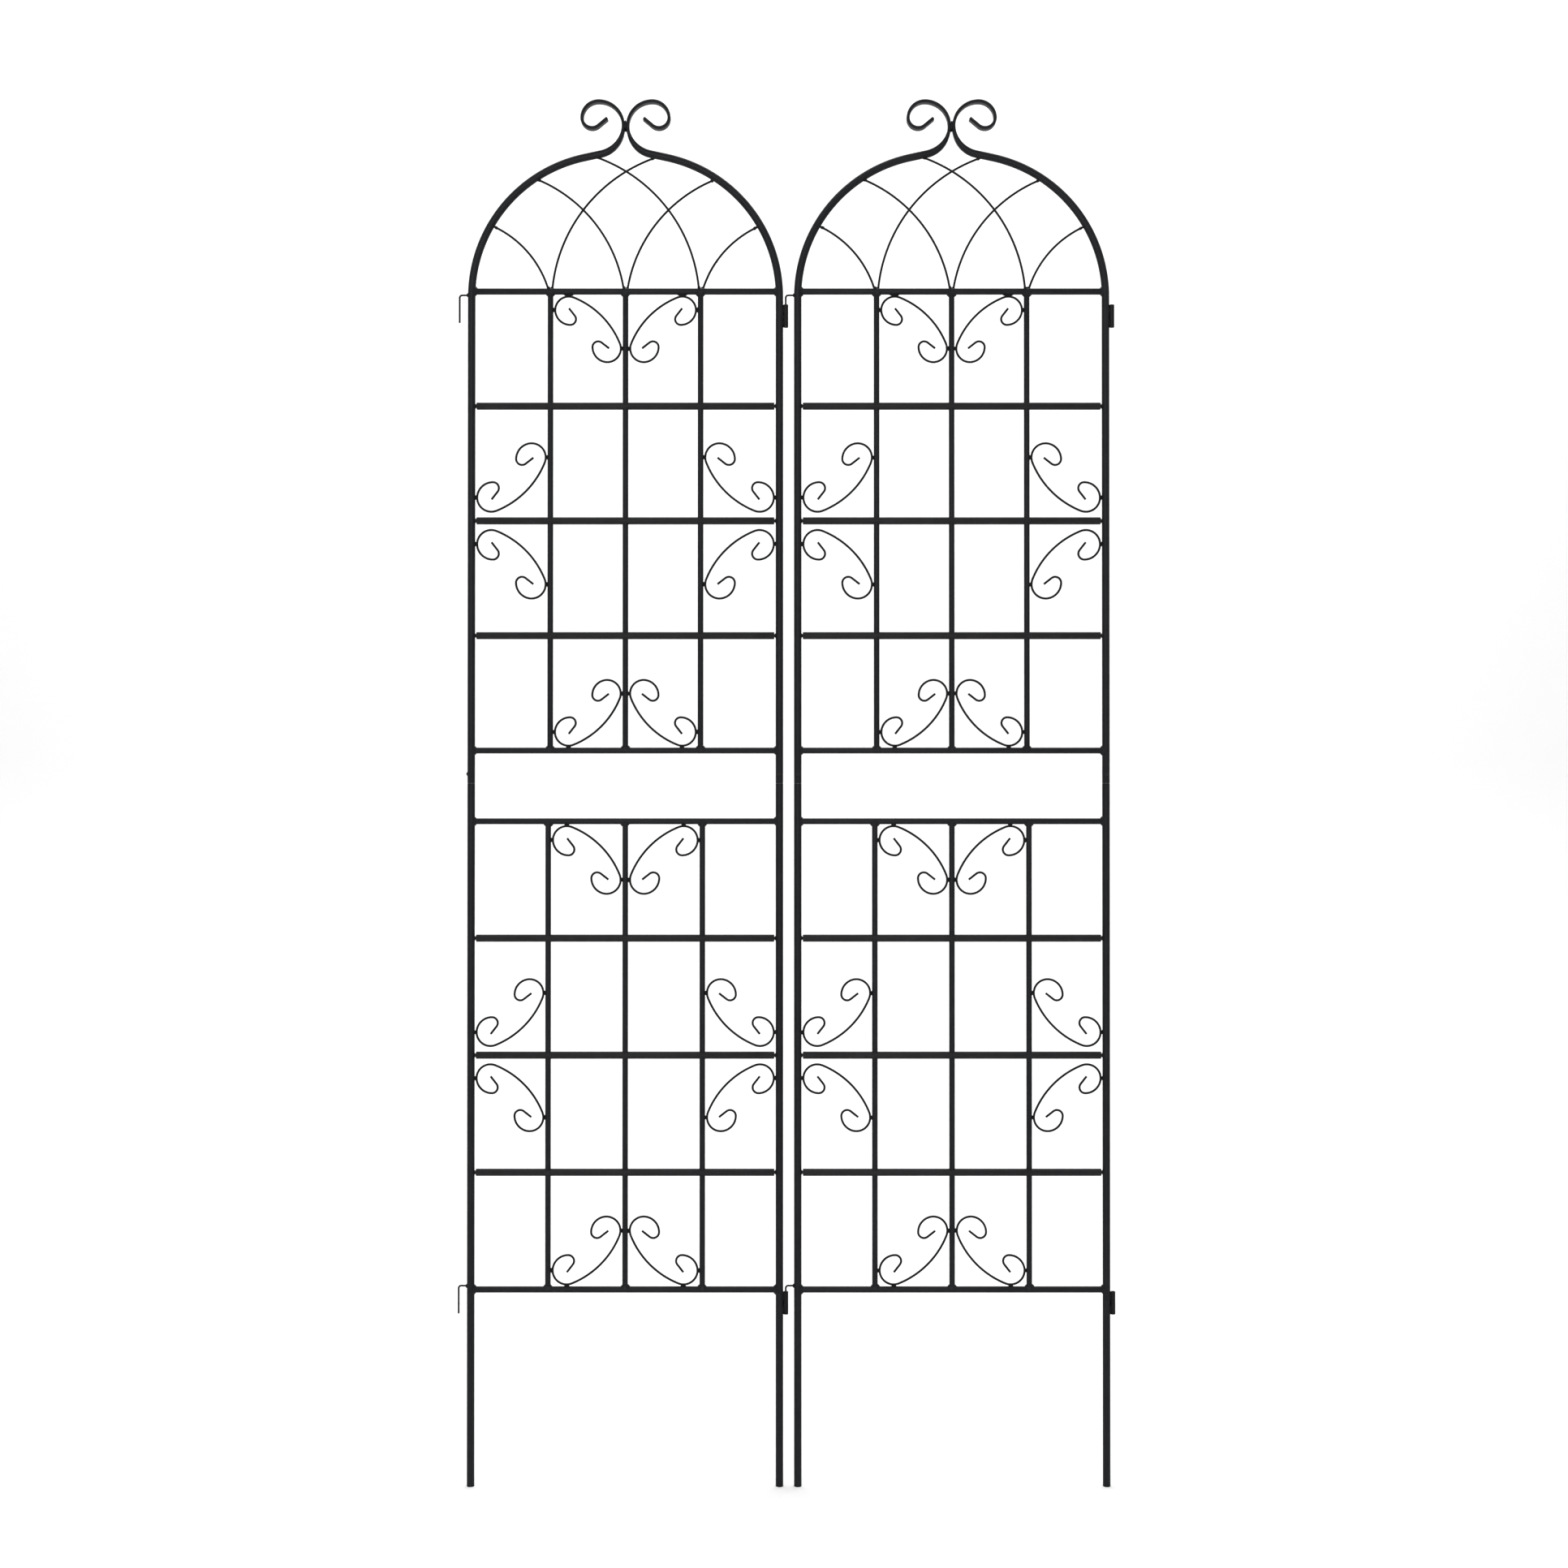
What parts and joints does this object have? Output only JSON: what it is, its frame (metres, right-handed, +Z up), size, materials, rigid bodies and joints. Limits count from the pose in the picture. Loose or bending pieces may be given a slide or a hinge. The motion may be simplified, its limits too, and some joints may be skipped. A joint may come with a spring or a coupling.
{
  "type": "garden trellis",
  "caption": "Linked metal garden trellis panels with arched, scroll-topped lattice, legs to push into soil, and hook-and-socket hinges.",
  "frame": {"origin": "bottom centre of the pair's bounding box, level with the tips of the legs", "axes": "+Z up along the legs, +X to the pair's right as seen from its front, and the front faces -Y"},
  "size_m": [1.0394, 0.016, 2.1941],
  "materials": {
    "black_tube": "satin",
    "black_bar": "satin",
    "black_wire": "satin",
    "black_fitting": "satin",
    "dark_screw": "semi-gloss",
    "bare_steel": "satin"
  },
  "bodies": {
    "left_panel": {"left_upper_left_tube": "black_tube", "left_upper_right_tube": "black_tube", "left_upper_top_bar": "black_tube", "left_upper_cross_bars": "black_bar", "left_upper_bottom_bar": "black_tube", "left_upper_uprights": "black_tube", "left_tracery_outer": "black_wire", "left_tracery_middle": "black_wire", "left_tracery_inner": "black_wire", "left_upper_scrolls_top": "black_wire", "left_upper_scrolls_left": "black_wire", "left_upper_scrolls_right": "black_wire", "left_upper_scrolls_bottom": "black_wire", "left_lower_left_tube": "black_tube", "left_lower_right_tube": "black_tube", "left_lower_top_bar": "black_tube", "left_lower_cross_bars": "black_bar", "left_lower_bottom_bar": "black_tube", "left_lower_uprights": "black_tube", "left_lower_scrolls_top": "black_wire", "left_lower_scrolls_left": "black_wire", "left_lower_scrolls_right": "black_wire", "left_lower_scrolls_bottom": "black_wire", "left_spigots": "bare_steel", "left_joint_screws": "dark_screw", "left_upper_hook": "black_fitting", "left_lower_hook": "black_fitting", "left_upper_socket": "black_fitting", "left_lower_socket": "black_fitting"},
    "right_panel": {"right_upper_left_tube": "black_tube", "right_upper_right_tube": "black_tube", "right_upper_top_bar": "black_tube", "right_upper_cross_bars": "black_bar", "right_upper_bottom_bar": "black_tube", "right_upper_uprights": "black_tube", "right_tracery_outer": "black_wire", "right_tracery_middle": "black_wire", "right_tracery_inner": "black_wire", "right_upper_scrolls_top": "black_wire", "right_upper_scrolls_left": "black_wire", "right_upper_scrolls_right": "black_wire", "right_upper_scrolls_bottom": "black_wire", "right_lower_left_tube": "black_tube", "right_lower_right_tube": "black_tube", "right_lower_top_bar": "black_tube", "right_lower_cross_bars": "black_bar", "right_lower_bottom_bar": "black_tube", "right_lower_uprights": "black_tube", "right_lower_scrolls_top": "black_wire", "right_lower_scrolls_left": "black_wire", "right_lower_scrolls_right": "black_wire", "right_lower_scrolls_bottom": "black_wire", "right_spigots": "bare_steel", "right_joint_screws": "dark_screw", "right_upper_hook": "black_fitting", "right_lower_hook": "black_fitting", "right_upper_socket": "black_fitting", "right_lower_socket": "black_fitting"}
  },
  "joints": [
    {"name": "panel_fold", "type": "hinge", "parent": "left_panel", "child": "right_panel", "pos_m": [-0.00125, 0, 0], "axis": [0, 0, 1], "range_deg": [-120, 120]}
  ]
}
